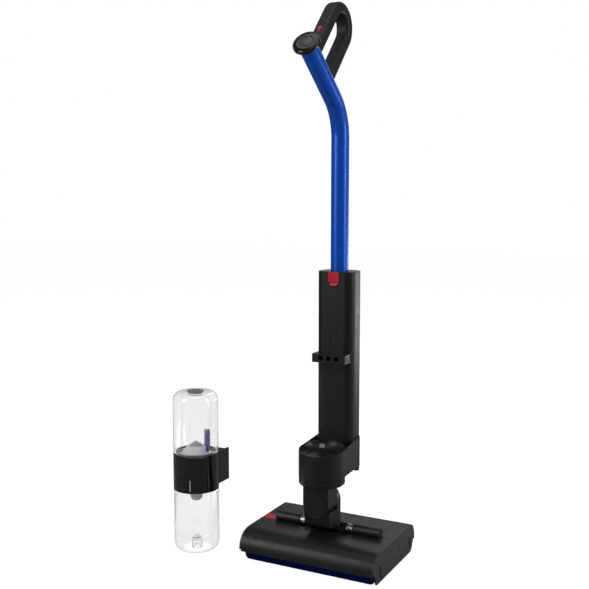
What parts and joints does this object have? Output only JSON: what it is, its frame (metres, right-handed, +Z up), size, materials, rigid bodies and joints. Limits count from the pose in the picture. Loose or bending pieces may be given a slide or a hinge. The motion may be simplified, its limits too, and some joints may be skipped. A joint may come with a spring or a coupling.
{
  "type": "cordless wet floor cleaner",
  "caption": "Upright cordless wet floor cleaner with twin rollers, a loop handle on a bent blue wand, and its stacked clear water tank standing beside it.",
  "frame": {"origin": "on the floor, at the middle of the bounding box of the machine and the tank standing at its left", "axes": "+Z up from the floor; -Y is the machine's front, the way it looks when pushed forwards; +X is to the right for someone facing its front"},
  "size_m": [0.4702, 0.249, 1.1376],
  "materials": {
    "black_plastic": "fine satin moulded texture",
    "end_plate": "fine satin moulded texture",
    "gloss_black": "gloss",
    "grey_plastic": "satin",
    "white_plastic": "satin translucent",
    "disc_grey": "satin",
    "red_plastic": "semi gloss",
    "teal_plastic": "satin",
    "screen_grey": "gloss",
    "soft_grip": "soft-touch matte",
    "black_rubber": "matte",
    "blue_aluminium": "blue anodised satin",
    "grey_metal": "satin",
    "steel": "machined",
    "black_steel": "black oxide",
    "blue_pile": "dense microfibre pile",
    "brush": "bristles",
    "clear_plastic": "clear polycarbonate",
    "filter_blue": "translucent mesh filter",
    "battery_wrap": "shrink wrap",
    "circuit_board": "lacquered"
  },
  "bodies": {
    "head": {"chassis": "black_plastic", "front_cover": "black_plastic", "rear_cover": "black_plastic", "end_plate_left": "end_plate", "end_plate_right": "end_plate", "barrel_left": "black_plastic", "barrel_right": "black_plastic", "shaft_clips": "grey_metal", "front_roller_motor": "steel", "rear_roller_motor": "steel", "roller_bearings": "steel", "drive_belts": "black_rubber", "water_bars": "grey_plastic", "scrapers": "black_rubber", "head_screws": "black_steel"},
    "front_roller": {"front_roller_core": "grey_plastic", "front_roller_sleeve": "blue_pile"},
    "rear_roller": {"rear_roller_core": "grey_plastic", "rear_roller_sleeve": "blue_pile"},
    "front_brush": {"front_brush_bar": "brush"},
    "rear_brush": {"rear_brush_bar": "brush"},
    "tray": {"debris_tray": "grey_plastic", "tray_mesh": "grey_metal"},
    "tray_button": {"tray_release": "red_plastic"},
    "yoke": {"lower_yoke": "black_plastic", "hinge_shaft": "steel", "swivel_pin": "steel"},
    "tower": {"upper_neck": "black_plastic", "neck_disc": "black_plastic", "seat_ring": "black_plastic", "seat_body": "black_plastic", "docking_post": "black_rubber", "tower_shell": "black_plastic", "tower_cap": "black_plastic", "rear_housing": "black_plastic", "port_block": "black_plastic", "port_seals": "black_rubber", "battery_pack": "battery_wrap", "water_pump": "grey_plastic", "waste_pump": "grey_plastic", "main_board": "circuit_board", "wand_socket": "black_plastic"},
    "post_valve": {"post_tip": "white_plastic"},
    "catch": {"wand_catch": "red_plastic"},
    "wand": {"wand_tube": "blue_aluminium", "wand_spigot": "black_plastic", "handle_loop": "soft_grip", "display_housing": "gloss_black", "display_lens": "gloss_black", "display_screen": "screen_grey", "handle_board": "circuit_board"},
    "power_key": {"power_button": "red_plastic"},
    "mode_key": {"mode_button": "teal_plastic"},
    "dirty_tank_body": {"dirty_tank": "clear_plastic"},
    "band": {"tank_band": "gloss_black", "tank_core": "grey_plastic", "inlet_filter": "filter_blue"},
    "clean_tank_body": {"clean_tank": "clear_plastic", "top_disc": "disc_grey"},
    "latch": {"tank_latch": "gloss_black"}
  },
  "joints": [
    {"name": "front_roller_spin", "type": "hinge", "parent": "head", "child": "front_roller", "pos_m": [0.08475, -0.0735, 0.026], "axis": [1, 0, 0], "continuous": true},
    {"name": "rear_roller_spin", "type": "hinge", "parent": "head", "child": "rear_roller", "pos_m": [0.08475, 0.0945, 0.026], "axis": [1, 0, 0], "continuous": true},
    {"name": "front_brush_spin", "type": "hinge", "parent": "head", "child": "front_brush", "pos_m": [0.08475, -0.0375, 0.018], "axis": [1, 0, 0], "continuous": true},
    {"name": "rear_brush_spin", "type": "hinge", "parent": "head", "child": "rear_brush", "pos_m": [0.08475, 0.0585, 0.018], "axis": [1, 0, 0], "continuous": true},
    {"name": "tray_slide", "type": "slide", "parent": "head", "child": "tray", "axis": [-1, 0, 0], "range_m": [0, 0.28]},
    {"name": "tray_release_press", "type": "slide", "parent": "head", "child": "tray_button", "axis": [0, 0, -1], "range_m": [0, 0.002], "stiffness_N_per_m": 900, "springref_m": -0.0004},
    {"name": "neck_pitch", "type": "hinge", "parent": "head", "child": "yoke", "pos_m": [0.08475, 0.0045, 0.072], "axis": [-1, 0, 0], "range_deg": [0, 45]},
    {"name": "neck_swivel", "type": "hinge", "parent": "yoke", "child": "tower", "pos_m": [0.08475, -0.0075, 0.1295], "axis": [0, 1, 0], "range_deg": [-35, 35]},
    {"name": "post_valve_press", "type": "slide", "parent": "tower", "child": "post_valve", "axis": [0, 0, -1], "range_m": [0, 0.0045], "stiffness_N_per_m": 300, "springref_m": -0.001},
    {"name": "wand_catch_press", "type": "slide", "parent": "tower", "child": "catch", "axis": [0, 1, 0], "range_m": [0, 0.003], "stiffness_N_per_m": 900, "springref_m": -0.0004},
    {"name": "wand_lift", "type": "slide", "parent": "tower", "child": "wand", "axis": [0, 0, 1], "range_m": [0, 0.1]},
    {"name": "power_press", "type": "slide", "parent": "wand", "child": "power_key", "axis": [0, 0.7266, -0.6871], "range_m": [0, 0.0012], "stiffness_N_per_m": 800, "springref_m": -0.0003},
    {"name": "mode_press", "type": "slide", "parent": "wand", "child": "mode_key", "axis": [0, 0.7266, -0.6871], "range_m": [0, 0.001], "stiffness_N_per_m": 800, "springref_m": -0.0003},
    {"name": "tank_lift", "type": "slide", "parent": "head", "child": "dirty_tank_body", "axis": [0, 0, 1], "range_m": [0, 0.2]},
    {"name": "band_lift", "type": "slide", "parent": "dirty_tank_body", "child": "band", "axis": [0, 0, 1], "range_m": [0, 0.08]},
    {"name": "clean_tank_lift", "type": "slide", "parent": "band", "child": "clean_tank_body", "axis": [0, 0, 1], "range_m": [0, 0.09]},
    {"name": "tank_latch_press", "type": "slide", "parent": "band", "child": "latch", "axis": [0, 1, 0], "range_m": [0, 0.0015], "stiffness_N_per_m": 800, "springref_m": -0.0004}
  ],
  "couplings": [
    {"joint": "rear_roller_spin", "follows": "front_roller_spin", "ratio": -1},
    {"joint": "front_brush_spin", "follows": "front_roller_spin", "ratio": 2},
    {"joint": "rear_brush_spin", "follows": "front_roller_spin", "ratio": -2}
  ]
}
